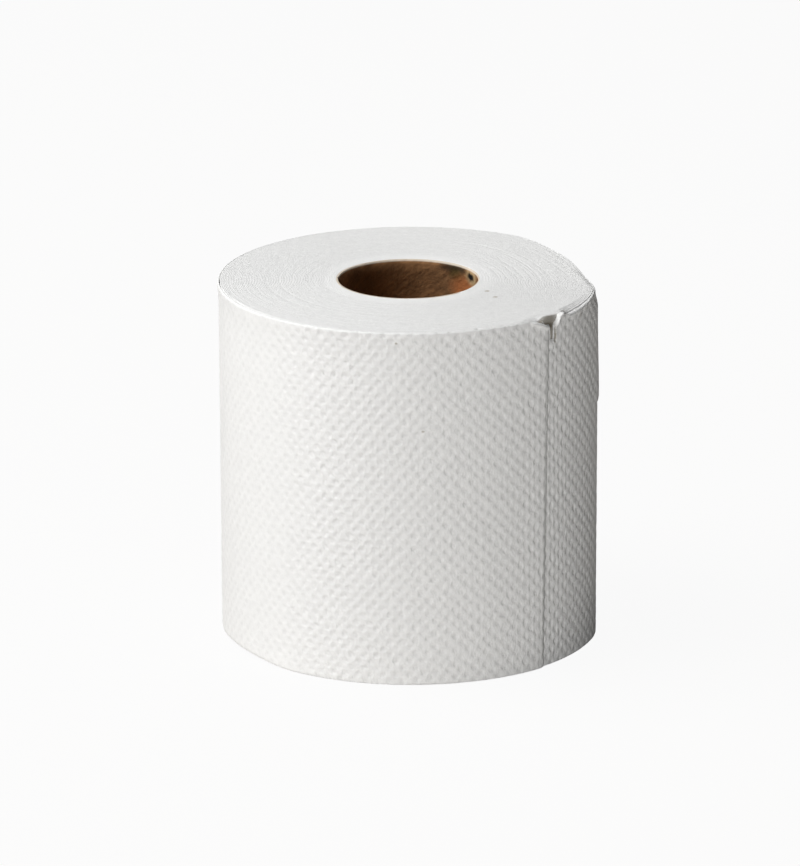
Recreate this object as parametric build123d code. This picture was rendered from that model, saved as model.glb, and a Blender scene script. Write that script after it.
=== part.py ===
from build123d import *
from math import atan2, ceil, cos, degrees, hypot, pi, radians, sin, sqrt
import os

# A toilet paper roll standing on its end: a long tissue sheet wound on a cardboard core.
# Millimetres and degrees. The origin is on the core's axis at the bottom end, and +Z is up.
# Azimuths are measured from +X towards +Y, and the front of the roll faces -Y.

# The roll
roll_height = 100.0
roll_radius = 52.4
end_softness = 2.0

# One side of the winding was pressed nearly flat, between two shoulders, and the round side's
# centre lies a little off the core's axis, towards the pressed side
pressed_azimuth = 21.0
pressed_side_radius = 143.0
shoulder_radius = 25.0
shoulder_angle = 37.7
winding_offset = 0.65

# The cardboard core, wound from one strip whose edges meet in a helical seam
core_bore_radius = 19.3
core_wall = 0.7
core_strip_width = 74.0
core_seam_width = 0.8
core_seam_depth = 0.25
core_seam_azimuth = 150.0
glue_line = 0.05

# The loose end of the sheet, called the tail, and the gap that it stands off by
tail_azimuth = -45.1
sheet_thickness = 0.45
tail_lift = 0.35
tail_lift_length = 26.0
slit_end_width = 0.08

# The torn notch at the tail's top corner, measured from the tail's edge, with its level foot
notch_left = 6.6
notch_foot = 2.2
notch_right = 6.4
notch_drop = 4.2
notch_depth = 1.3

# The turns that show on both ends, drawn as one spiral groove
turn_spacing = 5.2
turn_groove_width = 0.4
turn_groove_depth = 0.3
turns_inner_margin = 2.2
turns_outer_margin = 3.2

# How far a cutting shape runs past the surface that it opens, how far the shape that softens the
# ends stays outside the tail, and the longest arc that a turn is drawn with, in degrees
cut_clearance = 0.5
softening_clearance = 0.05
longest_arc = 65.0

core_radius = core_bore_radius + core_wall
winding_bore_radius = core_radius + glue_line
innermost_turn = winding_bore_radius + turns_inner_margin
shown_turns = max(1, round((roll_radius - turns_outer_margin - innermost_turn) / turn_spacing))


def at(radius, azimuth, z=0.0):
    """A point of the roll, from its distance to the core's axis, its azimuth and its height."""
    return Vector(radius * cos(radians(azimuth)), radius * sin(radians(azimuth)), z)


def plan_circles():
    """Centres and radii of the pressed side, a shoulder and the round side, which meet smoothly.

    They are in a plan whose X axis points from the core's axis to the middle of the pressed side.
    """
    whole = Vector(winding_offset, 0)
    shoulder = whole + at(roll_radius - shoulder_radius, shoulder_angle)
    reach = pressed_side_radius - shoulder_radius
    pressed = Vector(shoulder.X - sqrt(reach**2 - shoulder.Y**2), 0)
    return (pressed, pressed_side_radius), (shoulder, shoulder_radius), (whole, roll_radius)


def joint_angle(small, large):
    """Where two circles that touch from inside meet, as an angle seen from the core's axis."""
    large_centre, large_radius = large
    joint = large_centre + (small[0] - large_centre).normalized() * large_radius
    return degrees(atan2(joint.Y, joint.X))


pressed_side, shoulder, round_side = plan_circles()
pressed_reach = joint_angle(shoulder, pressed_side)
shoulder_reach = joint_angle(shoulder, round_side)


def skin_radius(azimuth):
    """Distance from the core's axis to the winding's skin, under its last sheet."""
    side = abs((azimuth - pressed_azimuth + 180) % 360 - 180)
    if side < pressed_reach:
        centre, radius = pressed_side
    elif side < shoulder_reach:
        centre, radius = shoulder
    else:
        centre, radius = round_side
    along = centre.dot(at(1, side))
    across = centre.cross(at(1, side)).Z
    return along + sqrt(radius**2 - across**2)


def arcs(radius_at, start, stop):
    """Arcs that follow a radius from one angle to another, counted from the tail into the turns."""
    reaches = (shoulder_reach, pressed_reach, -pressed_reach, -shoulder_reach)
    joints = [(tail_azimuth - pressed_azimuth - reach) % 360 for reach in reaches]
    breaks = [joint + 360 * turn for turn in range(shown_turns + 1) for joint in sorted(joints)]
    stops = [start] + [angle for angle in breaks if start + 1 < angle < stop - 1] + [stop]
    edges = []
    for low, high in zip(stops, stops[1:]):
        count = ceil((high - low) / longest_arc)
        step = (high - low) / count
        for i in range(count):
            angles = [low + step * i, low + step * (i + 0.5), low + step * (i + 1)]
            edges.append(ThreePointArc(*[at(radius_at(angle), tail_azimuth - angle) for angle in angles]))
    return edges


def closed_plan(outside, inside):
    """A face between two curves that run the same way, closed by a straight line at each end."""
    ends = [Line(outside[0] @ 0, inside[0] @ 0), Line(outside[-1] @ 1, inside[-1] @ 1)]
    return make_face(Curve() + outside + inside + ends)


def winding_outline():
    """Plan of the winding: the last sheet from its free edge, once round and in under itself."""
    lift_degrees = degrees(tail_lift_length / roll_radius)

    def bed(angle):
        return skin_radius(tail_azimuth - angle) - sheet_thickness * angle / 360

    def skin(angle):
        lift = tail_lift * max(0.0, 1 - angle / lift_degrees)
        return bed(angle) + sheet_thickness + lift

    def inside_of_tail(angle):
        return bed(angle) + slit_end_width + (tail_lift - slit_end_width) * (1 - angle / lift_degrees)

    outside = arcs(skin, 0, lift_degrees) + arcs(skin, lift_degrees, 360) + arcs(bed, 0, lift_degrees)
    return closed_plan(outside, arcs(inside_of_tail, 0, lift_degrees))


def softened_ends():
    """A bevelled puck a little larger than the winding, which takes the sharpness off its ends."""
    clear = sheet_thickness + tail_lift + softening_clearance
    reaches = (-shoulder_reach, -pressed_reach, pressed_reach, shoulder_reach, 180, 360 - shoulder_reach)

    def on_skin(side):
        return at(skin_radius(pressed_azimuth + side), pressed_azimuth + side)

    plan = [ThreePointArc(on_skin(a), on_skin((a + b) / 2), on_skin(b)) for a, b in zip(reaches, reaches[1:])]
    puck = extrude(offset(make_face(Curve() + plan), clear), roll_height)
    ends = puck.edges().filter_by(Axis.Z, reverse=True)
    return chamfer(ends, end_softness)


def turn_groove():
    """Plan of the spiral groove that shows the turns on an end of the roll."""
    half = turn_groove_width / 2

    def middle(angle):
        outermost_turn = skin_radius(tail_azimuth - angle) - turns_outer_margin
        return outermost_turn + (innermost_turn - outermost_turn) * angle / (360 * shown_turns)

    outside = arcs(lambda angle: middle(angle) + half, 0, 360 * shown_turns)
    inside = arcs(lambda angle: middle(angle) - half, 0, 360 * shown_turns)
    return closed_plan(outside, inside)


def tail_notch():
    """The wedge that is torn out of the top corner of the tail, down to a flat floor."""
    floor = Plane(
        origin=at(skin_radius(tail_azimuth) - notch_depth, tail_azimuth, roll_height),
        x_dir=at(1, tail_azimuth + 90),
        z_dir=at(1, tail_azimuth),
    )
    spread = (notch_drop + cut_clearance) / notch_drop
    outline = Polyline(
        (-notch_left * spread, cut_clearance),
        (0, -notch_drop),
        (notch_foot, -notch_drop),
        (notch_foot + (notch_right - notch_foot) * spread, cut_clearance),
        close=True,
    )
    return extrude(floor * make_face(outline), notch_depth + sheet_thickness + tail_lift + cut_clearance)


def make_winding():
    """The tissue: all its turns, with the lifted tail, as one piece."""
    winding = extrude(winding_outline(), roll_height) & softened_ends()
    winding -= Cylinder(winding_bore_radius, roll_height, align=(Align.CENTER, Align.CENTER, Align.MIN))
    groove = extrude(turn_groove(), turn_groove_depth + cut_clearance)
    winding -= Pos(0, 0, -cut_clearance) * groove
    winding -= Pos(0, 0, roll_height - turn_groove_depth) * groove
    winding -= tail_notch()
    return winding


def core_seam():
    """The helical gap between the edges of the core's strip, just deep enough to see."""
    round_the_bore = 2 * pi * core_bore_radius
    pitch = core_strip_width / sqrt(1 - (core_strip_width / round_the_bore) ** 2)
    level_width = core_seam_width * hypot(round_the_bore, pitch) / pitch
    middle = core_bore_radius + (core_seam_depth - cut_clearance) / 2
    section = Pos(middle, 0, 0) * Rectangle(core_seam_depth + cut_clearance, level_width)
    section = Rot(0, 0, core_seam_azimuth) * section
    turn = 360 * roll_height / pitch
    return Solid.extrude_linear_with_rotation(section.face(), (0, 0, 0), (0, 0, roll_height), turn)


def make_core():
    """The cardboard tube, with its strip's helical seam open inside the bore."""
    tube = Cylinder(core_radius, roll_height, align=(Align.CENTER, Align.CENTER, Align.MIN))
    tube -= Cylinder(core_bore_radius, roll_height, align=(Align.CENTER, Align.CENTER, Align.MIN))
    return tube - core_seam()


def main():
    os.makedirs("parts", exist_ok=True)
    export_step(make_winding(), "parts/tissue_roll.step")
    export_step(make_core(), "parts/cardboard_core.step")


main()
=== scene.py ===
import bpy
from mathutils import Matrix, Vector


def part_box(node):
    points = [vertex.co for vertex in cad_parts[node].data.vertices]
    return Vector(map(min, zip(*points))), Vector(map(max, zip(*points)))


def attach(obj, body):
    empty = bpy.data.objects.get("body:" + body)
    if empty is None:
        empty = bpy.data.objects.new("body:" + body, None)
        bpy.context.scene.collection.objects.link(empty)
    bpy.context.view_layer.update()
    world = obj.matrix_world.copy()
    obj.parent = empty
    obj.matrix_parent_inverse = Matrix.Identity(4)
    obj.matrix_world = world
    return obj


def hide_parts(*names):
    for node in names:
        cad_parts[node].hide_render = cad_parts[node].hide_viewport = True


bl_info = {
    "name": "Toilet Paper Roll",
    "version": (1, 0, 0),
    "blender": (4, 5, 0),
    "location": "3D View > Sidebar > Paper Roll",
    "description": "A wound, dented tissue sheet with a torn corner, on its cardboard core",
    "category": "Add Mesh",
}

from math import atan2, cos, floor, hypot, pi, radians, sin, sqrt, tan

import bmesh
import bpy
from bpy.props import FloatProperty, FloatVectorProperty, PointerProperty
from mathutils import Matrix, Vector, noise

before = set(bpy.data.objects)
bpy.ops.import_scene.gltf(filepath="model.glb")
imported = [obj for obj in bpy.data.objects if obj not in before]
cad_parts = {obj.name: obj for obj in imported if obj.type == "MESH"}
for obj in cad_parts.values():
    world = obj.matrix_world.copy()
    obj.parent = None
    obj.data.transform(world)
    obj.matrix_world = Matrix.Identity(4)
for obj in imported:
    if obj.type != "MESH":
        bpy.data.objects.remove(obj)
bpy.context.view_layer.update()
tissue_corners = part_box("tissue_roll")

# Metres and radians. The origin is on the core's axis at the bottom end, +Z is up and the front
# faces -Y. "Turned" is how far round the roll a place on the sheet is, clockwise from its loose
# edge, which is called the tail. "Around" is the distance along the wall to the left of that edge,
# and "inwards" the distance from the wall towards the axis.

# How far the fine relief of each surface stands out
SHEET_GRAIN = 0.0002
TURNS_GRAIN = 0.00015
CARDBOARD_GRAIN = 0.0003

# The glue between the core and the sheet, and how far the last sheet runs on under the tail
GLUE_LINE = 0.00005
TUCKED_LENGTH = 0.022

# How far the camera's picture is shifted, the floor's own colour, and how much of what the camera
# sees of the floor is plain white
CAMERA_SHIFT = (-0.00999, 0.02125)
FLOOR_COLOUR = (0.56, 0.54, 0.515, 1.0)
FLOOR_WHITE = 0.94

# Marks on the sheet and on the turns' edges, specks and painted shade: the radius, azimuth in degrees
# and height of the middle, the reaches outwards, round the roll and up, how dark it is and how much it
# covers
SHEET_MARKS_AND_SHADE = (
    ((0.0528, -93.6, 0.0970), (0.002, 0.0004, 0.0003), 3.0, 0.5),
    ((0.0528, -85.7, 0.0724), (0.002, 0.0004, 0.0003), 3.0, 0.5),
    ((0.0526, -28.1, 0.0967), (0.002, 0.0007, 0.0008), 2.0, 0.3),
    # The last two are painted shade: along the tail's torn edge and the gap behind it, and in the narrow
    # fold beside the slit
    ((0.0522, -46.8, 0.0982), (0.0005, 0.0016, 0.0018), 2.2, 0.7),
    ((0.0525, -41.28, 0.0942), (0.0014, 0.00045, 0.0023), 2.2, 0.7),
)
TURNS_MARKS_AND_SHADE = (
    # The first four are painted shade: in the hollow behind the tear, darker at its bottom, in the slit,
    # and in the gap behind the curled edge right of the tear
    ((0.0523, -43.6, 0.0975), (0.0008, 0.0045, 0.0030), 2.2, 0.68),
    ((0.0523, -43.6, 0.0968), (0.0008, 0.0020, 0.0012), 1.2, 0.6),
    ((0.0520, -42.8, 0.0930), (0.0010, 0.0012, 0.0030), 2.2, 0.6),
    ((0.0518, -36.0, 0.1000), (0.0003, 0.0014, 0.0012), 1.0, 0.5),
    ((0.0515, -5.6, 0.1000), (0.0006, 0.0008, 0.001), 2.0, 0.6),
    ((0.0250, -30.3, 0.1000), (0.0006, 0.0006, 0.001), 4.0, 0.5),
    ((0.0300, -37.9, 0.1000), (0.0006, 0.0006, 0.001), 4.0, 0.5),
)

# Stained places on the core, and places of painted shade in its bore, as above, with their own colours
CORE_STAINS_AND_SHADE = (
    # Painted shade deep in the bore, on its left
    ((0.0193, 140.0, 0.0780), (0.003, 0.0340, 0.0200), (0.050, 0.022, 0.010), 0.6),
    # Painted shadow under the back right rim, in three spots
    ((0.0193, 55.0, 0.0986), (0.002, 0.0030, 0.0014), (0.040, 0.020, 0.010), 0.8),
    ((0.0193, 44.0, 0.0988), (0.002, 0.0034, 0.0011), (0.020, 0.016, 0.008), 0.85),
    ((0.0193, 47.0, 0.0968), (0.002, 0.0022, 0.0016), (0.090, 0.060, 0.015), 0.75),
    # A reddish-orange patch and a pale tan patch, of the cardboard's own colour
    ((0.0193, 33.0, 0.0930), (0.002, 0.0068, 0.0036), (0.50, 0.17, 0.055), 0.8),
    ((0.0193, 24.0, 0.0978), (0.002, 0.0030, 0.0022), (0.66, 0.48, 0.26), 0.8),
    # A near-black spot for a small hole: painted shade
    ((0.0193, 26.3, 0.0978), (0.002, 0.0018, 0.0011), (0.004, 0.003, 0.002), 1.0),
)


class RollSizes(bpy.types.PropertyGroup):
    """The winding's plan and its last sheet, with the sizes that the solids have"""

    height: FloatProperty(
        name="Height",
        description="Height of the roll, standing on its end",
        default=tissue_corners[1].z - tissue_corners[0].z,
        unit="LENGTH",
    )
    radius: FloatProperty(
        name="Radius",
        description="Radius of the winding's round side",
        default=0.0524,
        unit="LENGTH",
    )
    top_rounding: FloatProperty(
        name="Top rounding",
        description="Rounding of the edge between the wall and the top end",
        default=0.0006,
        unit="LENGTH",
    )
    bottom_rounding: FloatProperty(
        name="Bottom rounding",
        description="Rounding of the edge between the wall and the bottom end",
        default=0.0005,
        unit="LENGTH",
    )
    pressed_azimuth: FloatProperty(
        name="Pressed azimuth",
        description="Direction of the side that was pressed nearly flat",
        default=radians(21.0),
        subtype="ANGLE",
    )
    pressed_radius: FloatProperty(
        name="Pressed side's radius",
        description="Radius of the side that was pressed nearly flat",
        default=0.143,
        unit="LENGTH",
    )
    shoulder_radius: FloatProperty(
        name="Shoulder radius",
        description="Radius of the shoulders between the pressed side and the round side",
        default=0.025,
        unit="LENGTH",
    )
    shoulder_angle: FloatProperty(
        name="Shoulder angle",
        description="Angle from the pressed side's middle to a shoulder",
        default=radians(37.7),
        subtype="ANGLE",
    )
    winding_offset: FloatProperty(
        name="Winding offset",
        description="How far the round side's centre lies off the core's axis",
        default=0.00065,
        unit="LENGTH",
    )
    sheet_thickness: FloatProperty(
        name="Sheet thickness",
        description="Thickness of the two plies with their dents",
        default=0.00045,
        unit="LENGTH",
    )
    tail_azimuth: FloatProperty(
        name="Tail azimuth",
        description="Direction of the tail's edge",
        default=radians(-45.1),
        subtype="ANGLE",
    )
    bottom_crush: FloatProperty(
        name="Bottom crush",
        description="How far the edge of the bottom end is pushed up at the left",
        default=0.0010,
        unit="LENGTH",
    )
    rim_inset: FloatProperty(
        name="Rim inset",
        description="How far the top end's edge is pushed in at the far right",
        default=0.0009,
        unit="LENGTH",
    )
    tail_bend: FloatProperty(
        name="Tail bend",
        description="How far the tail's edge bends down to the turn below",
        default=0.0005,
        unit="LENGTH",
    )
    tail_bend_width: FloatProperty(
        name="Tail bend width",
        description="How wide the part of the tail is that bends down",
        default=0.0013,
        unit="LENGTH",
    )
    tail_lean: FloatProperty(
        name="Tail lean",
        description="How far round the tail's edge leans from the bottom to the top",
        default=radians(1.7),
        subtype="ANGLE",
    )
    tail_lift: FloatProperty(
        name="Tail lift",
        description="How far the tail's edge stands off the turn below",
        default=0.00035,
        unit="LENGTH",
    )
    tail_lift_length: FloatProperty(
        name="Tail lift length",
        description="How far along the sheet the tail takes to settle on the turn below",
        default=0.026,
        unit="LENGTH",
    )
    rim_flare: FloatProperty(
        name="Rim flare",
        description="How far the wall leans out near the top, opposite the pressed side",
        default=0.0004,
        unit="LENGTH",
    )
    rim_flare_height: FloatProperty(
        name="Rim flare height",
        description="How far below the top the wall starts to lean out",
        default=0.009,
        unit="LENGTH",
    )
    end_unevenness: FloatProperty(
        name="End unevenness",
        description="How far the turns stand out unevenly at an end",
        default=0.00006,
        unit="LENGTH",
    )
    loose_turn_gap: FloatProperty(
        name="Loose turn gap",
        description="How far the turn under the last sheet is sunk at its loosest place",
        default=0.0005,
        unit="LENGTH",
    )


class TornCornerSizes(bpy.types.PropertyGroup):
    """The torn and folded top corner of the tail"""

    left: FloatProperty(
        name="Left reach",
        description="How far the tear reaches to the left of the tail's edge, along the tail",
        default=0.0075,
        unit="LENGTH",
    )
    foot: FloatProperty(
        name="Foot",
        description="How far right of the tail's edge the tear runs level, before it climbs",
        default=0.0033,
        unit="LENGTH",
    )
    right: FloatProperty(
        name="Right reach",
        description="How far the tear reaches to the right of the tail's edge, along the turn below",
        default=0.0056,
        unit="LENGTH",
    )
    drop: FloatProperty(
        name="Drop",
        description="How far down the tear reaches",
        default=0.0031,
        unit="LENGTH",
    )
    inner_left: FloatProperty(
        name="Inner left reach",
        description="How far the tear reaches to the left in the turn under the tail",
        default=0.0019,
        unit="LENGTH",
    )
    inner_drop: FloatProperty(
        name="Inner drop",
        description="How far the turns behind the tear lie below the end",
        default=0.0009,
        unit="LENGTH",
    )
    foot_drop: FloatProperty(
        name="Foot drop",
        description="How much further down the tear runs at the right end of its level part",
        default=0.0005,
        unit="LENGTH",
    )
    edge_slope: FloatProperty(
        name="Edge slope",
        description="How far a torn edge slopes down outwards across the sheet's thickness",
        default=0.0008,
        unit="LENGTH",
    )
    curl: FloatProperty(
        name="Curl",
        description="How far the tear's right edge is bent outwards",
        default=0.0009,
        unit="LENGTH",
    )
    tail_curl: FloatProperty(
        name="Tail curl",
        description="How far the tail's torn edge is bent outwards",
        default=0.0009,
        unit="LENGTH",
    )
    curl_height: FloatProperty(
        name="Curl height",
        description="How far below a torn edge the sheet starts to bend outwards",
        default=0.0009,
        unit="LENGTH",
    )
    crushed_drop: FloatProperty(
        name="Crushed drop",
        description="How far the crushed rim right of the tear lies below the end, at the wall",
        default=0.0014,
        unit="LENGTH",
    )
    crushed_width: FloatProperty(
        name="Crushed width",
        description="How far the crushed rim reaches inwards from the wall",
        default=0.0025,
        unit="LENGTH",
    )
    slit_place: FloatProperty(
        name="Slit place",
        description="How far right of the tail's edge the middle of the slit lies",
        default=0.00222,
        unit="LENGTH",
    )
    slit_width: FloatProperty(
        name="Slit width",
        description="Width of the slit below the tear",
        default=0.00145,
        unit="LENGTH",
    )
    fold_spacing: FloatProperty(
        name="Fold spacing",
        description="Distance from the slit to the narrow fold beside it",
        default=0.0013,
        unit="LENGTH",
    )
    fold_depth: FloatProperty(
        name="Fold depth",
        description="Depth of the narrow fold beside the slit",
        default=0.0007,
        unit="LENGTH",
    )
    slit_drop: FloatProperty(
        name="Slit drop",
        description="How far below the end the slit and the fold reach",
        default=0.0076,
        unit="LENGTH",
    )
    frayed_drop: FloatProperty(
        name="Frayed drop",
        description="How far the frayed edge right of the tear lies below the end",
        default=0.00018,
        unit="LENGTH",
    )
    frayed_length: FloatProperty(
        name="Frayed length",
        description="How far the frayed edge runs to the right of the tear",
        default=0.032,
        unit="LENGTH",
    )


class DentSizes(bpy.types.PropertyGroup):
    """The pattern of dents that is pressed into the sheet"""

    spacing_along: FloatProperty(
        name="Spacing along",
        description="Distance between two dents of a row",
        default=0.00355,
        unit="LENGTH",
    )
    spacing_up: FloatProperty(
        name="Spacing up",
        description="Height of a cell, which holds two rows of dents",
        default=0.00377,
        unit="LENGTH",
    )
    reach: FloatProperty(
        name="Reach",
        description="Radius of a dent",
        default=0.00125,
        unit="LENGTH",
    )
    depth: FloatProperty(
        name="Depth",
        description="Depth of a dent",
        default=0.0004,
        unit="LENGTH",
    )
    crisp_depth: FloatProperty(
        name="Crisp depth",
        description="How much the surface adds to a dent's depth at its steep edge",
        default=0.0001,
        unit="LENGTH",
    )
    raised: FloatProperty(
        name="Raised",
        description="How far the land between the dents stands above the sheet's even thickness",
        default=0.00015,
        unit="LENGTH",
    )
    stretch: FloatProperty(
        name="Stretch",
        description="How many times a dent is drawn out from its upper left to its lower right",
        default=1.04,
    )
    row_rise: FloatProperty(
        name="Row rise",
        description="Angle at which the rows climb to the right",
        default=radians(3.2),
        subtype="ANGLE",
    )
    column_lean: FloatProperty(
        name="Column lean",
        description="Angle at which the columns lean to the left",
        default=radians(0.8),
        subtype="ANGLE",
    )
    unevenness: FloatProperty(
        name="Unevenness",
        description="How far the soft waves of the sheet stand out",
        default=0.00006,
        unit="LENGTH",
    )
    worn_azimuth: FloatProperty(
        name="Worn azimuth",
        description="Direction of the side where the dents are rubbed flat",
        default=radians(-152.0),
        subtype="ANGLE",
    )
    worn_share: FloatProperty(
        name="Worn share",
        description="How much of the dents' depth is gone in the middle of the rubbed side",
        default=0.78,
    )
    pressed_share: FloatProperty(
        name="Pressed share",
        description="How much of the dents' depth is lost on the side that was pressed",
        default=0.25,
        min=0.0,
        max=1.0,
    )


class CoreSizes(bpy.types.PropertyGroup):
    """The cardboard core, with the sizes that the solid has"""

    bore_radius: FloatProperty(
        name="Bore radius",
        description="Inner radius of the core",
        default=0.0193,
        unit="LENGTH",
    )
    wall: FloatProperty(
        name="Wall",
        description="Thickness of the cardboard",
        default=0.0007,
        unit="LENGTH",
    )
    strip_width: FloatProperty(
        name="Strip width",
        description="Width of the strip that the core is wound from",
        default=0.074,
        unit="LENGTH",
    )
    seam_width: FloatProperty(
        name="Seam width",
        description="Width of the gap between the strip's edges",
        default=0.0008,
        unit="LENGTH",
    )
    seam_depth: FloatProperty(
        name="Seam depth",
        description="Depth of the gap between the strip's edges",
        default=0.00025,
        unit="LENGTH",
    )
    recess: FloatProperty(
        name="Recess",
        description="How far the core's top end lies below the tissue's",
        default=0.0001,
        unit="LENGTH",
    )
    seam_azimuth: FloatProperty(
        name="Seam azimuth",
        description="Direction of the seam at the bottom end",
        default=radians(150.0),
        subtype="ANGLE",
    )


class Finish(bpy.types.PropertyGroup):
    """The colours of the tissue and the cardboard"""

    tissue: FloatVectorProperty(
        name="Tissue",
        description="Colour of the tissue",
        default=(0.90, 0.90, 0.89),
        min=0.0,
        max=1.0,
        size=3,
        subtype="COLOR",
    )
    cardboard: FloatVectorProperty(
        name="Cardboard",
        description="Colour of the cardboard",
        default=(0.29, 0.15, 0.066),
        min=0.0,
        max=1.0,
        size=3,
        subtype="COLOR",
    )
    rim: FloatVectorProperty(
        name="Rim",
        description="Colour of the cardboard's pale cut edge",
        default=(0.84, 0.76, 0.64),
        min=0.0,
        max=1.0,
        size=3,
        subtype="COLOR",
    )
    # The colour of the specks, and of the painted shade in the torn corner and its slits
    dirt_and_shade: FloatVectorProperty(
        name="Dirt",
        description="Colour of the brown shade in the torn corner and of the specks",
        default=(0.075, 0.056, 0.026),
        min=0.0,
        max=1.0,
        size=3,
        subtype="COLOR",
    )


class StageSettings(bpy.types.PropertyGroup):
    """The camera and the light"""

    camera_distance: FloatProperty(
        name="Camera distance",
        description="Distance from the camera to the middle of the roll",
        default=1.7193,
        unit="LENGTH",
    )
    camera_elevation: FloatProperty(
        name="Camera elevation",
        description="Angle at which the camera looks down",
        default=radians(17.74),
        subtype="ANGLE",
    )
    camera_roll: FloatProperty(
        name="Camera roll",
        description="Angle by which the camera is turned about its own axis",
        default=radians(-0.13),
        subtype="ANGLE",
    )
    camera_lens: FloatProperty(
        name="Focal length",
        description="Focal length of the lens, in millimetres",
        default=257.6,
    )
    side_power: FloatProperty(
        name="Side light",
        description="Power of the soft light high on the left",
        default=8.9,
        unit="POWER",
    )
    top_power: FloatProperty(
        name="Top light",
        description="Power of the soft light above, a little to the left",
        default=14.6,
        unit="POWER",
    )
    front_power: FloatProperty(
        name="Front light",
        description="Power of the wide soft light in front, close to the floor",
        default=11.6,
        unit="POWER",
    )
    surroundings: FloatProperty(
        name="Surroundings",
        description="Strength of the light from all around",
        default=0.02,
    )


class PaperRoll(bpy.types.PropertyGroup):
    """Everything that a user may change on the roll"""

    roll: PointerProperty(name="Roll", type=RollSizes)
    torn_corner: PointerProperty(name="Torn corner", type=TornCornerSizes)
    dents: PointerProperty(name="Dents", type=DentSizes)
    core: PointerProperty(name="Core", type=CoreSizes)
    finish: PointerProperty(name="Finish", type=Finish)
    stage: PointerProperty(name="Stage", type=StageSettings)


class WindingPlan:
    """The outline of the winding from above: a round side, and a pressed side with two shoulders."""

    def __init__(self, roll):
        reach = roll.radius - roll.shoulder_radius
        middle = Vector((roll.winding_offset, 0.0))
        shoulder = middle + reach * Vector((cos(roll.shoulder_angle), sin(roll.shoulder_angle)))
        far = roll.pressed_radius - roll.shoulder_radius
        pressed = Vector((shoulder.x - sqrt(far**2 - shoulder.y**2), 0.0))
        self.azimuth = roll.pressed_azimuth
        self.sides = [
            (self.joint(shoulder, pressed, roll.pressed_radius), pressed, roll.pressed_radius),
            (self.joint(shoulder, middle, roll.radius), shoulder, roll.shoulder_radius),
            (pi, middle, roll.radius),
        ]

    def joint(self, small, large, radius):
        """Where the shoulder's circle meets a larger one, as an angle from the core's axis."""
        meeting = large + (small - large).normalized() * radius
        return atan2(meeting.y, meeting.x)

    def skin_radius(self, azimuth):
        """Distance from the core's axis to the winding's skin, under its last sheet."""
        side = angle_between(azimuth, self.azimuth)
        centre, radius = next(circle[1:] for circle in self.sides if side <= circle[0])
        along = centre.x * cos(side) + centre.y * sin(side)
        across = centre.x * sin(side) - centre.y * cos(side)
        return along + sqrt(radius**2 - across**2)


def polar(radius, azimuth, height):
    """A point of the roll, from its distance to the core's axis, its azimuth and its height."""
    return Vector((radius * cos(azimuth), radius * sin(azimuth), height))


def angle_between(azimuth, other):
    """The angle between two azimuths, from 0 to half a turn."""
    return abs((azimuth - other + pi) % (2 * pi) - pi)


def ramp(value, start, end):
    """Rises evenly from 0 at the start to 1 at the end."""
    return max(0.0, min(1.0, (value - start) / (end - start)))


def soft_step(value, start, end):
    """Rises softly from 0 at the start to 1 at the end."""
    share = ramp(value, start, end)
    return share * share * (3.0 - 2.0 * share)


def fade_out(distance, reach):
    """Falls evenly from 1 at no distance to 0 at the reach."""
    return max(0.0, 1.0 - distance / reach)


def fade_inwards(inwards, reach):
    """Falls evenly from 1 at the wall, and outside it, to 0 at the reach inwards."""
    return fade_out(max(0.0, inwards), reach)


def last_sheet_radius(roll, plan, turned):
    """Distance from the core's axis to the outside of the last sheet."""
    lift = roll.tail_lift * fade_out(turned * roll.radius, roll.tail_lift_length)
    wound = roll.sheet_thickness * (1.0 - turned / (2 * pi))
    return plan.skin_radius(roll.tail_azimuth - turned) + wound + lift


def rounding_drop(size, inwards):
    """How far a rounded edge lies below its end."""
    if inwards >= size:
        return 0.0
    return size - sqrt(size**2 - (size - inwards) ** 2)


def end_drop(roll, radius, azimuth):
    """How far a place on an end lies below the end's highest places."""
    place = polar(radius, azimuth, 0.0)
    soft = noise.noise(place * 90.0)
    fine = noise.noise(place * 420.0)
    return roll.end_unevenness * (0.75 + 0.5 * soft + 0.5 * fine)


def bottom_crush(roll, azimuth, inwards):
    """How far the bottom end's edge is pushed up at the left, most at the wall."""
    side = angle_between(azimuth, radians(-153.0))
    facing = 1.0 - soft_step(side, radians(4.0), radians(26.0))
    return roll.bottom_crush * facing * fade_inwards(inwards, 0.0025)


def bulge(azimuth, up):
    """How far the right side stands out above its upper crease, less the depth of its two creases."""
    upper_crease, lower_crease = 0.0674, 0.046
    side = angle_between(azimuth, radians(6.0))
    facing = 1.0 - soft_step(side, radians(16.0), radians(24.0))
    above = soft_step(up, upper_crease, 0.0684) * (1.0 - soft_step(up, 0.070, 0.092))
    sunk = fade_out(abs(up - upper_crease), 0.0009) + 0.6 * fade_out(abs(up - lower_crease), 0.0012)
    return facing * (0.0004 * above - 0.0001 * sunk)


def flare(roll, azimuth, up, inwards):
    """How far the wall and the turns close to it lean out near the top end.

    At the far right they are pushed in instead.
    """
    facing = max(0.0, -cos(azimuth - roll.pressed_azimuth))
    risen = fade_out(roll.height - up, roll.rim_flare_height)
    side = angle_between(azimuth, radians(2.0))
    far_right = 1.0 - soft_step(side, radians(8.0), radians(24.0))
    pushed = roll.rim_inset * far_right * soft_step(up, 0.094, 0.099)
    return (roll.rim_flare * facing * risen**2 - pushed) * fade_inwards(inwards, 0.006)


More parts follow.
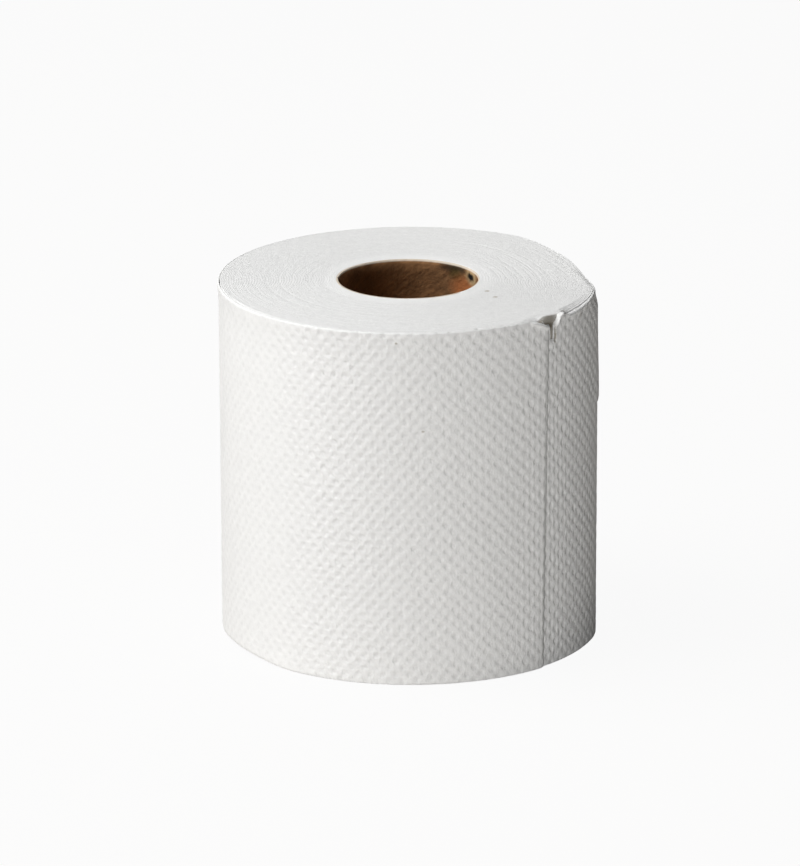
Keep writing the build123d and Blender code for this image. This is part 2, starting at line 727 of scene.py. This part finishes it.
def tear_drop(torn, around):
    """How far the last sheet's torn edge lies below the end."""
    if around > 0.0:
        return torn.drop * fade_out(around, torn.left) ** 1.3
    right = -around
    if abs(right - torn.slit_place) < torn.slit_width / 2:
        return torn.slit_drop
    level = torn.drop + torn.foot_drop * min(1.0, right / torn.foot)
    climb = ramp(right, torn.foot, torn.right)
    fade = ramp(torn.frayed_length - right, 0.0, 0.012)
    ragged = 1.0 + 0.6 * noise.noise(Vector((right * 500.0, 3.1, 0.7)))
    frayed = torn.frayed_drop * fade * ragged
    return frayed + (level - frayed) * (1.0 - climb)


def inner_tear_drop(torn, around, inwards):
    """How far the turns behind the tear lie below the end, most at the wall."""
    middle = torn.foot + 0.0007
    reach = 0.0048 if -around < middle else 0.0036
    return torn.inner_drop * fade_out(abs(around + middle), reach) * fade_inwards(inwards, 0.003) ** 2


def crushed_drop(torn, around, inwards):
    """How far the crushed rim on both sides of the tear lies below the end."""
    near = fade_inwards(inwards, torn.crushed_width)
    if around > 0.0:
        return 0.75 * tear_drop(torn, around) * soft_step(around, 0.0008, 0.0024) * near
    beside = soft_step(-around, torn.right + 0.0009, torn.right + 0.0044)
    beside *= soft_step(torn.frayed_length + around, 0.0, 0.024)
    further = 0.6 * (1.0 - soft_step(abs(around + 0.041), 0.003, 0.014))
    return torn.crushed_drop * max(beside, further) * near


def tear_curl(torn, around):
    """How far a torn edge is bent outwards."""
    if around > 0.0:
        return torn.tail_curl * soft_step(around, 0.0, 0.001) * soft_step(torn.left - around, 0.0, 0.002)
    lip = 1.0 - soft_step(-around, torn.right + 0.0006, torn.right + 0.0022)
    frayed = soft_step(-around, torn.right + 0.002, torn.right + 0.004)
    frayed *= soft_step(torn.frayed_length + around, 0.004, 0.020)
    return torn.curl * (lip + 0.4 * frayed) * soft_step(-around, torn.foot - 0.0003, torn.foot + 0.0003)


def fold_sink(torn, around, down):
    """How far the narrow fold beside the slit is sunk, at a distance down from the end."""
    if down > torn.slit_drop:
        return 0.0
    return torn.fold_depth * fade_out(abs(-around - torn.slit_place - torn.fold_spacing), 0.0004)


def dent_strength(roll, dents, azimuth):
    """How much of the dents' depth is left, which is less on the rubbed side and the pressed side."""
    worn = 1.0 - soft_step(angle_between(azimuth, dents.worn_azimuth), radians(12.0), radians(46.0))
    pressed = 1.0 - soft_step(angle_between(azimuth, roll.pressed_azimuth), radians(60.0), radians(105.0))
    return 1.0 - dents.worn_share * worn - dents.pressed_share * pressed


def wander(along, up, scale, layer):
    """Two numbers from -1 to 1 that change softly over the sheet, in a way of their own on each layer.

    They come from single noise values, because noise_vector doesn't give the same ones at each run.
    """
    place = Vector((along * scale, up * scale, layer))
    return Vector((noise.noise(place), noise.noise(place + Vector((9.3, 17.1, 3.4)))))


def dent_lattice(dents, along, up, strength):
    """A place in the lattice of dents, and their strength there.

    The lattice has a dent wherever both numbers are whole, and wherever both are halves.
    """
    sway = wander(along, up, 160.0, 0.37) * 0.12
    jitter = wander(along, up, 520.0, 4.37) * 0.10
    u = (along - up * tan(dents.column_lean)) / dents.spacing_along + sway.x + jitter.x
    v = (up + along * tan(dents.row_rise)) / dents.spacing_up + sway.y + jitter.y
    return Vector((u, v, strength))


def dent(dents, lattice, along, up):
    """How far the outside of the sheet lies under its highest places."""
    nearest = dents.reach
    for shift in (0.0, 0.5):
        u = (lattice.x + shift - round(lattice.x + shift)) * dents.spacing_along
        v = (lattice.y + shift - round(lattice.y + shift)) * dents.spacing_up
        nearest = min(nearest, hypot((u + v) / dents.stretch, (u - v) * dents.stretch) / sqrt(2.0))
    strength = 0.85 + 0.45 * noise.noise(Vector((along * 420.0, up * 420.0, 5.0)))
    pressed = 0.5 + 0.5 * cos(pi * nearest / dents.reach)
    soft = noise.noise(Vector((along * 110.0, up * 110.0, 9.0)))
    fine = noise.noise(Vector((along * 650.0, up * 420.0, 2.0)))
    uneven = dents.unevenness * (0.6 + 0.5 * soft + 0.7 * fine)
    return lattice.z * (dents.depth * strength * pressed + uneven)


def grid_places(mesh, columns, rows):
    """The column and row of each vertex of a grid that create_grid has made two metres wide."""
    bmesh.ops.create_grid(mesh, x_segments=columns, y_segments=rows, size=1.0)
    for vertex in mesh.verts:
        column = round((vertex.co.x + 1.0) / 2.0 * columns)
        row = round((vertex.co.y + 1.0) / 2.0 * rows)
        yield vertex, column, row


def close_strip(mesh):
    """Joins the long edges of a strip that was folded into a tube, and caps its ends."""
    bmesh.ops.remove_doubles(mesh, verts=mesh.verts, dist=1e-6)
    bmesh.ops.holes_fill(mesh, edges=mesh.edges, sides=0)
    bmesh.ops.recalc_face_normals(mesh, faces=mesh.faces)


def add_piece(mesh, name, material, node):
    """Makes an object of a bmesh, which rides on the roll and stands for a solid."""
    data = bpy.data.meshes.new(name)
    mesh.to_mesh(data)
    mesh.free()
    data.materials.append(material)
    data.shade_smooth()
    piece = bpy.data.objects.new(name, data)
    bpy.context.scene.collection.objects.link(piece)
    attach(piece, "root")
    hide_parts(node)


class Surface:
    """A material that is put together from textures in the object's own coordinates."""

    def __init__(self, name, roughness, specular):
        self.material = bpy.data.materials.new(name)
        self.material.use_nodes = True
        self.nodes = self.material.node_tree.nodes
        self.shader = self.nodes["Principled BSDF"]
        self.shader.inputs["Roughness"].default_value = roughness
        self.shader.inputs["Specular IOR Level"].default_value = specular
        self.place = self.nodes.new("ShaderNodeTexCoord").outputs["Object"]

    def give(self, socket, value):
        """Sets a socket to a plain value, or links another node's output to it."""
        if isinstance(value, bpy.types.NodeSocket):
            self.material.node_tree.links.new(value, socket)
        else:
            socket.default_value = value

    def reckoned(self, kind, operation, values):
        """The outputs of a node that reckons with some values."""
        node = self.nodes.new(kind)
        node.operation = operation
        for socket, value in zip(node.inputs, values):
            self.give(socket, value)
        return node.outputs

    def number(self, operation, *values):
        """A number that is reckoned from numbers."""
        return self.reckoned("ShaderNodeMath", operation, values)["Value"]

    def vector(self, operation, *values):
        """A vector, or its length or product, that is reckoned from vectors."""
        outputs = self.reckoned("ShaderNodeVectorMath", operation, values)
        return outputs["Value" if operation in ("LENGTH", "DOT_PRODUCT") else "Vector"]

    def spread(self, value, low, high, at_low, at_high, curve="LINEAR"):
        """Turns the range from low to high into the range from at_low to at_high."""
        node = self.nodes.new("ShaderNodeMapRange")
        node.interpolation_type = curve
        self.give(node.inputs["Value"], value)
        limits = {"From Min": low, "From Max": high, "To Min": at_low, "To Max": at_high}
        for name, limit in limits.items():
            node.inputs[name].default_value = limit
        return node.outputs["Result"]

    def cloud(self, place, scale, detail=3.0, roughness=0.55):
        """An even cloudy texture from 0 to 1."""
        node = self.nodes.new("ShaderNodeTexNoise")
        self.give(node.inputs["Vector"], place)
        node.inputs["Scale"].default_value = scale
        node.inputs["Detail"].default_value = detail
        node.inputs["Roughness"].default_value = roughness
        return node.outputs["Fac"]

    def carried(self, name):
        """A place that the mesh carries at each of its vertices."""
        node = self.nodes.new("ShaderNodeAttribute")
        node.attribute_name = name
        return node.outputs["Vector"]

    def turned(self, place, angle, scale, middle=(0.0, 0.0, 0.0)):
        """A place as seen from a middle that is turned and stretched."""
        node = self.nodes.new("ShaderNodeMapping")
        self.give(node.inputs["Vector"], place)
        node.vector_type = "TEXTURE"
        node.inputs["Location"].default_value = middle
        node.inputs["Rotation"].default_value = (0.0, 0.0, angle)
        node.inputs["Scale"].default_value = scale
        return node.outputs["Vector"]

    def tint(self, colour, other, share):
        """Mixes one colour into another."""
        node = self.nodes.new("ShaderNodeMix")
        node.data_type = "RGBA"
        self.give(node.inputs["Factor"], share)
        self.give(node.inputs["A"], colour)
        self.give(node.inputs["B"], other)
        return node.outputs["Result"]

    def spotted(self, colour, spots, scale, shift):
        """Adds soft-edged oval spots, whose outlines are shifted unevenly by a texture of a scale.

        Each has its middle's radius, azimuth and height, its three reaches, its colour and its cover.
        """
        uneven = self.vector("SUBTRACT", self.cloud(self.place, scale), (0.5, 0.5, 0.5))
        place = self.vector("MULTIPLY_ADD", uneven, (shift, shift, shift), self.place)
        for (radius, azimuth, height), reaches, spot, cover in spots:
            angle = radians(azimuth)
            near = self.turned(place, angle, reaches, polar(radius, angle, height))
            mask = self.spread(self.vector("LENGTH", near), 0.5, 1.5, 1.0, 0.0, "SMOOTHSTEP")
            colour = self.tint(colour, spot, self.number("MULTIPLY", mask, cover))
        return colour

    def colour(self, colour):
        """Gives the surface its colour."""
        self.give(self.shader.inputs["Base Color"], colour)

    def relief(self, height, depth):
        """Shades the surface as if it stood out, by its height from 0 to 1 times its depth."""
        node = self.nodes.new("ShaderNodeBump")
        node.inputs["Distance"].default_value = depth
        self.give(node.inputs["Height"], height)
        self.give(self.shader.inputs["Normal"], node.outputs["Normal"])


def shade(colour, factor):
    """A colour made lighter or darker, for a node's socket."""
    return (*[min(1.0, channel * factor) for channel in colour], 1.0)


def tissue_surface(name, finish):
    """Soft white tissue: matt and a little mottled."""
    surface = Surface(name, 0.95, 0.1)
    mottle = surface.cloud(surface.place, 420.0, 4.0)
    grain = surface.cloud(surface.place, 1500.0, 3.0, 0.7)
    mixed = surface.spread(surface.number("ADD", mottle, grain), 0.7, 1.3, 0.0, 1.0)
    return surface, surface.tint(shade(finish.tissue, 0.955), shade(finish.tissue, 1.035), mixed)


def marked_and_shaded(surface, colour, dirt_and_shade, marks_and_shade):
    """Adds small specks and spots of painted shade, each with its place, its reaches, its darkness and
    its cover.
    """
    spots = [(place, reaches, shade(dirt_and_shade, factor), cover) for place, reaches, factor, cover in marks_and_shade]
    return surface.spotted(colour, spots, 900.0, 0.0008)


def sheet_material(finish, dents):
    """The last sheet's outside: tissue with crisp dents painted a little darker, a crumpled grain, a few
    specks and painted shade.
    """
    surface, colour = tissue_surface("Dented tissue", finish)
    lattice = surface.carried("lattice")
    reaches = []
    for shift in (0.0, 0.5):
        moved = surface.vector("ADD", lattice, (shift, shift, 0.5))
        nearest = surface.vector("SUBTRACT", surface.vector("FRACTION", moved), (0.5, 0.5, 0.5))
        spaced = surface.vector("MULTIPLY", nearest, (dents.spacing_along, dents.spacing_up, 0.0))
        stretched = surface.turned(spaced, pi / 4, (dents.stretch, 1.0 / dents.stretch, 1.0))
        reaches.append(surface.vector("LENGTH", stretched))
    reach = surface.number("MINIMUM", *reaches)
    pressed = surface.spread(reach, dents.reach * 0.25, dents.reach * 0.95, 1.0, 0.0, "SMOOTHSTEP")
    strength = surface.spread(surface.cloud(surface.place, 480.0, 1.0), 0.35, 0.65, 0.25, 1.3)
    remaining = surface.vector("DOT_PRODUCT", lattice, (0.0, 0.0, 1.0))
    pressed = surface.number("MULTIPLY", pressed, strength)
    # The dents are painted a little darker: in part for their denser pressed fibres, in part as painted
    # shade in their hollows
    colour = surface.tint(colour, shade(finish.tissue, 0.92), surface.number("MULTIPLY", pressed, 0.5))
    crumple = surface.cloud(surface.vector("MULTIPLY", lattice, (4.6, 2.6, 1.0)), 1.0, 2.0, 0.6)
    fibres = surface.cloud(surface.place, 1900.0, 4.0, 0.7)
    height = surface.number("MULTIPLY_ADD", pressed, -dents.crisp_depth / SHEET_GRAIN, crumple)
    height = surface.number("MULTIPLY_ADD", fibres, 0.4, height)
    surface.relief(surface.number("MULTIPLY", height, remaining), SHEET_GRAIN)
    surface.colour(marked_and_shaded(surface, colour, finish.dirt_and_shade, SHEET_MARKS_AND_SHADE))
    return surface.material


def turns_material(finish):
    """The turns' cut edges: tissue with a soft grain, a little lighter close to the core, with a few
    specks and painted shade in and beside the tear.
    """
    surface, colour = tissue_surface("Wound tissue", finish)
    reach = surface.vector("LENGTH", surface.vector("MULTIPLY", surface.place, (1.0, 1.0, 0.0)))
    close = surface.spread(reach, 0.0215, 0.026, 0.9, 0.0, "SMOOTHSTEP")
    colour = surface.tint(colour, shade(finish.tissue, 1.06), close)
    grain = surface.cloud(surface.place, 800.0, 4.0, 0.65)
    surface.relief(grain, TURNS_GRAIN)
    surface.colour(marked_and_shaded(surface, colour, finish.dirt_and_shade, TURNS_MARKS_AND_SHADE))
    return surface.material


def cardboard_material(finish):
    """Rough brown cardboard with slanting streaks, darker blotches, stained places near its top and
    painted shade in the bore.
    """
    surface = Surface("Cardboard", 0.85, 0.2)
    unrolled = surface.carried("unrolled")
    blotches = surface.cloud(surface.place, 150.0, 5.0, 0.6)
    streaks = surface.cloud(surface.turned(unrolled, radians(-35.0), (0.006, 0.0012, 1.0)), 1.0, 3.0, 0.6)
    mixed = surface.number("ADD", blotches, surface.number("MULTIPLY", streaks, 0.5))
    mixed = surface.spread(mixed, 0.5, 1.0, 0.0, 1.0)
    colour = surface.tint(shade(finish.cardboard, 0.55), shade(finish.cardboard, 1.5), mixed)
    # Stained places, and spots of painted shade deep in the bore, under the back rim and in a small hole
    stains_and_shade = [(place, reaches, (*spot_colour, 1.0), cover) for place, reaches, spot_colour, cover in CORE_STAINS_AND_SHADE]
    colour = surface.spotted(colour, stains_and_shade, 500.0, 0.0016)
    rim = surface.number("ABSOLUTE", surface.vector("DOT_PRODUCT", unrolled, (0.0, 1.0, 0.0)))
    rim = surface.spread(rim, 0.0992, 0.0997, 0.0, 0.8, "SMOOTHSTEP")
    surface.colour(surface.tint(colour, shade(finish.rim, 1.0), rim))
    fibres = surface.cloud(surface.place, 900.0, 4.0)
    surface.relief(surface.number("MULTIPLY_ADD", streaks, 0.6, fibres), CARDBOARD_GRAIN)
    return surface.material


class LastSheetOperator(bpy.types.Operator):
    """Adds the last turn of the sheet, with its dents, its tail and the torn corner"""

    bl_idname = "paper_roll.last_sheet"
    bl_label = "Last Sheet"

    def execute(self, context):
        settings = context.scene.paper_roll
        roll, torn, dents = settings.roll, settings.torn_corner, settings.dents
        plan = WindingPlan(roll)
        round_length = 2 * pi * roll.radius
        stations = self.column_places(round_length)
        wall_rows, edge_rows = 158, 4
        rows = wall_rows + 2 * edge_rows + 1
        squeezed_height = 0.012

        def place(column, row):
            along = stations[column]
            around = along if along < round_length / 2 else along - round_length
            hidden = along > round_length
            if hidden:
                torn_edge = torn.drop * (1.0 - soft_step(around, 0.0, torn.inner_left))
                torn_edge = max(torn_edge, inner_tear_drop(torn, around, 0.0))
            else:
                torn_edge = tear_drop(torn, around)
            thin = 0.55 + 0.45 * soft_step(along, 0.0, 0.004)
            thickness = roll.sheet_thickness * 1.25 * thin
            if row <= wall_rows:
                share = row / wall_rows
                depth = 0.0
            elif row <= wall_rows + edge_rows:
                share = 1.0
                depth = thickness * (row - wall_rows) / edge_rows
            else:
                share = 0.0
                depth = thickness * (rows - row) / edge_rows
            azimuth = roll.tail_azimuth - along / roll.radius
            uneven = end_drop(roll, plan.skin_radius(azimuth), azimuth)
            low = uneven + rounding_drop(roll.bottom_rounding, depth) + bottom_crush(roll, azimuth, depth)
            rounding = rounding_drop(roll.top_rounding, depth)
            plain_high = roll.height - uneven - rounding
            slope = torn.edge_slope * soft_step(torn_edge, 0.0002, 0.001) * depth / thickness
            if around > 0.0:
                slope *= 0.3
            high = roll.height - uneven - max(rounding, torn_edge + rounding * 0.3 - slope)
            if hidden or around < 0.0:
                high -= crushed_drop(torn, around, depth)
            up = low + (plain_high - low) * share
            # The rows near the top are squeezed together or drawn apart, to end at the torn edge
            if up > plain_high - squeezed_height:
                up = high - (plain_high - up) * (high - plain_high + squeezed_height) / squeezed_height
            lean = (0.5 - up / roll.height) * roll.tail_lean * fade_out(along, 0.02)
            turned = along / roll.radius + lean
            radius = last_sheet_radius(roll, plan, max(0.0, turned))
            exposed = thin * (1.0 - soft_step(along - round_length, 0.0005, 0.003))
            lattice = dent_lattice(dents, along, up, dent_strength(roll, dents, azimuth))
            inwards = depth - dents.raised * exposed
            if row <= wall_rows:
                inwards += dent(dents, lattice, along, up) * exposed
            inwards -= flare(roll, azimuth, up, 0.0) + bulge(azimuth, up)
            inwards += roll.tail_bend * fade_out(along, roll.tail_bend_width)
            if not hidden:
                bent = fade_out(high - up, torn.curl_height) * (1.0 - depth / thickness)
                inwards += fold_sink(torn, around, roll.height - up) - tear_curl(torn, around) * bent
            return polar(radius - inwards, roll.tail_azimuth - turned, up), lattice

        mesh = bmesh.new()
        carried = mesh.verts.layers.float_vector.new("lattice")
        for vertex, column, row in list(grid_places(mesh, len(stations) - 1, rows)):
            vertex.co, vertex[carried] = place(column, row % rows)
        close_strip(mesh)
        add_piece(mesh, "last_sheet", sheet_material(settings.finish, dents), "tissue_roll")
        return {"FINISHED"}

    def column_places(self, round_length):
        """Distances of the columns from the tail's edge, along the sheet.

        They lie closer where the sheet is torn, and further apart where the tail hides it.
        """
        spans = [
            (0.0, 0.009, 28),
            (0.009, round_length - 0.009, 486),
            (round_length - 0.009, round_length - 0.006, 9),
            (round_length - 0.006, round_length, 44),
            (round_length, round_length + 0.003, 12),
            (round_length + 0.003, round_length + TUCKED_LENGTH, 8),
        ]
        places = [0.0]
        for start, end, count in spans:
            places += [start + (end - start) * (i + 1) / count for i in range(count)]
        return places


class WindingOperator(bpy.types.Operator):
    """Adds the sheet's other turns, as one strip that is wound from under the tail to the core"""

    bl_idname = "paper_roll.winding"
    bl_label = "Winding"

    def execute(self, context):
        settings = context.scene.paper_roll
        roll, torn, core = settings.roll, settings.torn_corner, settings.core
        plan = WindingPlan(roll)
        inner = core.bore_radius + core.wall + GLUE_LINE
        outer = roll.radius + roll.sheet_thickness
        turns = round((outer - inner) / roll.sheet_thickness)
        pitch = (outer - inner) / turns
        slope = pitch / (2 * pi)
        start = 2 * pi + TUCKED_LENGTH / roll.radius
        used = outer * start - slope * start**2 / 2
        length = (outer**2 - inner**2) / (2 * slope) - used
        columns = round(length / 0.00155)
        round_length = 2 * pi * roll.radius
        right_reach = 0.060
        dents_room = roll.sheet_thickness * 0.45
        # Rows round the strip's section, from the outside at the bottom: how deep in the turn each
        # lies, and how far its edge falls away from the crown of the cut end
        depths = (0.0, 0.0, 0.25, 0.75, 1.0, 1.0, 0.75, 0.25)
        edge_falls = (0.00001, 0.00001, 0.0, 0.0, 0.00001, 0.00001, 0.0, 0.0)
        rows = len(depths)

        def turned_at(along):
            return (outer - sqrt(outer**2 - 2 * slope * (along + used))) / slope

        def place(column, row):
            # The strip ends a hair before its spiral, whose last place can't be reckoned safely
            turned = turned_at(length * column / columns * 0.99999)
            azimuth = roll.tail_azimuth - turned
            skin = plan.skin_radius(azimuth)
            share = 1.0 - turned / (2 * pi * turns)
            depth = depths[row] * pitch * 1.01
            radius = inner + (skin + roll.sheet_thickness - dents_room - inner) * share - depth
            inwards = skin + roll.sheet_thickness * 0.5 - dents_room - radius
            turn = floor(turned / (2 * pi))
            loose = noise.noise(Vector((turn * 0.61, cos(azimuth) * 1.1, sin(azimuth) * 1.1)))
            drop = edge_falls[row] + end_drop(roll, radius, azimuth) + 0.00003 * max(0.0, loose)
            if not 1 <= row <= 4:
                drop = max(drop, rounding_drop(roll.bottom_rounding, inwards))
                return polar(radius, azimuth, drop + bottom_crush(roll, azimuth, inwards))
            # The distance from the tail's edge, which is below zero for the first 60 mm to its right
            around = (turned * roll.radius + right_reach) % round_length - right_reach
            drop = max(drop, rounding_drop(roll.top_rounding, inwards))
            drop += crushed_drop(torn, around, inwards)
            drop += inner_tear_drop(torn, around, inwards)
            if turned < 4 * pi:
                side = angle_between(azimuth, radians(-135.0))
                drop += roll.loose_turn_gap * (1.0 - soft_step(side, radians(8.0), radians(26.0)))
            up = roll.height - drop
            return polar(radius + flare(roll, azimuth, up, inwards), azimuth, up)

        mesh = bmesh.new()
        for vertex, column, row in list(grid_places(mesh, columns, rows)):
            vertex.co = place(column, row % rows)
        close_strip(mesh)
        add_piece(mesh, "winding", turns_material(settings.finish), "tissue_roll")
        return {"FINISHED"}


class CoreOperator(bpy.types.Operator):
    """Adds the cardboard core, with the seam that winds up its bore"""

    bl_idname = "paper_roll.core"
    bl_label = "Cardboard Core"

    def execute(self, context):
        settings = context.scene.paper_roll
        roll, core = settings.roll, settings.core
        round_the_bore = 2 * pi * core.bore_radius
        climb = core.strip_width / sqrt(1 - (core.strip_width / round_the_bore) ** 2)
        level_width = core.seam_width * hypot(round_the_bore, climb) / climb
        seam = level_width / core.bore_radius
        columns, levels = 160, 70
        steps = [0.0, seam * 0.12, seam * 0.88, seam]
        steps += [seam + (2 * pi - seam) * (i + 1) / columns for i in range(columns)]
        seam_columns = (1, 2)
        high = roll.height - core.recess
        # Rows that follow the bore's, over the rim and down the outside: share of the wall, and height
        outside = ((0.3, high), (1.0, high), (1.0, 0.0), (0.0, 0.0))
        rows = levels + len(outside)

        def place(column, row):
            if row > levels:
                share, up = outside[row - levels - 1]
                radius = core.bore_radius + share * core.wall
            else:
                up = high * row / levels
                radius = core.bore_radius
                if column in seam_columns:
                    radius += core.seam_depth
            azimuth = core.seam_azimuth + steps[column] + 2 * pi * up / climb
            if 0 < row < levels:
                radius += noise.noise(polar(radius, azimuth, up) * 120.0) * 0.00008
            return polar(radius, azimuth, up), Vector((azimuth * core.bore_radius, up, 0.0))

        mesh = bmesh.new()
        carried = mesh.verts.layers.float_vector.new("unrolled")
        for vertex, column, row in list(grid_places(mesh, len(steps) - 1, rows)):
            vertex.co, vertex[carried] = place(column, row)
        bmesh.ops.remove_doubles(mesh, verts=mesh.verts, dist=1e-6)
        bmesh.ops.recalc_face_normals(mesh, faces=mesh.faces)
        add_piece(mesh, "core_tube", cardboard_material(settings.finish), "cardboard_core")
        return {"FINISHED"}


class StageOperator(bpy.types.Operator):
    """Adds the camera, the floor and the light"""

    bl_idname = "paper_roll.stage"
    bl_label = "Stage"

    def execute(self, context):
        stage = context.scene.paper_roll.stage
        middle = Vector((0.0, 0.0, context.scene.paper_roll.roll.height / 2))
        self.add_camera(context.scene, stage, middle)
        self.add_floor(context.scene)
        self.add_light(context.scene, stage, middle)
        context.scene.view_settings.view_transform = "Standard"
        return {"FINISHED"}

    def add_camera(self, scene, stage, middle):
        """The camera stands where the photograph was taken from."""
        data = bpy.data.cameras.new("Camera")
        data.lens = stage.camera_lens
        data.shift_x, data.shift_y = CAMERA_SHIFT
        data.clip_end = 20.0
        camera = bpy.data.objects.new("Camera", data)
        back = Vector((0.0, -cos(stage.camera_elevation), sin(stage.camera_elevation)))
        camera.location = middle + back * stage.camera_distance
        tilt = Matrix.Rotation(pi / 2 - stage.camera_elevation, 3, "X")
        camera.rotation_euler = (tilt @ Matrix.Rotation(stage.camera_roll, 3, "Z")).to_euler()
        scene.collection.objects.link(camera)
        scene.camera = camera

    def add_floor(self, scene):
        """A white floor that the camera sees nearly as white, with the roll's soft shadow."""
        mesh = bmesh.new()
        bmesh.ops.create_grid(mesh, x_segments=1, y_segments=1, size=3.0)
        data = bpy.data.meshes.new("floor")
        mesh.to_mesh(data)
        mesh.free()
        material = bpy.data.materials.new("White floor")
        material.use_nodes = True
        nodes, links = material.node_tree.nodes, material.node_tree.links
        nodes.remove(nodes["Principled BSDF"])
        plain = nodes.new("ShaderNodeBsdfDiffuse")
        plain.inputs["Color"].default_value = FLOOR_COLOUR
        white = nodes.new("ShaderNodeEmission")
        white.inputs["Strength"].default_value = 1.0
        path = nodes.new("ShaderNodeLightPath")
        seen = nodes.new("ShaderNodeMath")
        seen.operation = "MULTIPLY"
        seen.inputs[1].default_value = FLOOR_WHITE
        links.new(path.outputs["Is Camera Ray"], seen.inputs[0])
        mix = nodes.new("ShaderNodeMixShader")
        links.new(seen.outputs["Value"], mix.inputs["Fac"])
        links.new(plain.outputs["BSDF"], mix.inputs[1])
        links.new(white.outputs["Emission"], mix.inputs[2])
        links.new(mix.outputs["Shader"], nodes["Material Output"].inputs["Surface"])
        data.materials.append(material)
        floor_piece = bpy.data.objects.new("floor", data)
        scene.collection.objects.link(floor_piece)

    def add_light(self, scene, stage, middle):
        """Three soft lights, and faint even light from all around."""
        lamps = {
            "Side light": ((-1.0, -0.2, 1.1), (1.0, 1.0), stage.side_power),
            "Top light": ((-0.7, 0.0, 1.3), (1.0, 1.0), stage.top_power),
            "Front light": ((-0.12, -1.5, 0.1), (0.9, 0.3), stage.front_power),
        }
        for name, (place, size, power) in lamps.items():
            data = bpy.data.lights.new(name, "AREA")
            data.shape = "RECTANGLE"
            data.size, data.size_y = size
            data.energy = power
            lamp = bpy.data.objects.new(name, data)
            lamp.location = place
            lamp.rotation_euler = (middle - lamp.location).to_track_quat("-Z", "Y").to_euler()
            scene.collection.objects.link(lamp)

        world = bpy.data.worlds.new("White surroundings")
        world.use_nodes = True
        scene.world = world
        nodes, links = world.node_tree.nodes, world.node_tree.links
        background = nodes["Background"]
        background.inputs["Color"].default_value = (1.0, 1.0, 1.0, 1.0)
        path = nodes.new("ShaderNodeLightPath")
        seen = path.outputs["Is Camera Ray"]
        for ray in ("Is Glossy Ray", "Is Transmission Ray"):
            either = nodes.new("ShaderNodeMath")
            either.operation = "MAXIMUM"
            links.new(seen, either.inputs[0])
            links.new(path.outputs[ray], either.inputs[1])
            seen = either.outputs["Value"]
        strength = nodes.new("ShaderNodeMix")
        strength.inputs["A"].default_value = stage.surroundings
        strength.inputs["B"].default_value = 1.0
        links.new(seen, strength.inputs["Factor"])
        links.new(strength.outputs["Result"], background.inputs["Strength"])


class PaperRollPanel(bpy.types.Panel):
    """Lists what the roll is made of"""

    bl_idname = "VIEW3D_PT_paper_roll"
    bl_label = "Paper Roll"
    bl_space_type = "VIEW_3D"
    bl_region_type = "UI"
    bl_category = "Paper Roll"

    def draw(self, context):
        for operator in (LastSheetOperator, WindingOperator, CoreOperator, StageOperator):
            self.layout.operator(operator.bl_idname)


classes = (
    RollSizes,
    TornCornerSizes,
    DentSizes,
    CoreSizes,
    Finish,
    StageSettings,
    PaperRoll,
    LastSheetOperator,
    WindingOperator,
    CoreOperator,
    StageOperator,
    PaperRollPanel,
)


def register():
    for item in classes:
        bpy.utils.register_class(item)
    bpy.types.Scene.paper_roll = PointerProperty(type=PaperRoll)


def unregister():
    del bpy.types.Scene.paper_roll
    for item in reversed(classes):
        bpy.utils.unregister_class(item)


def main():
    register()
    bpy.ops.paper_roll.last_sheet()
    bpy.ops.paper_roll.winding()
    bpy.ops.paper_roll.core()
    bpy.ops.paper_roll.stage()


if __name__ == "__main__":
    main()
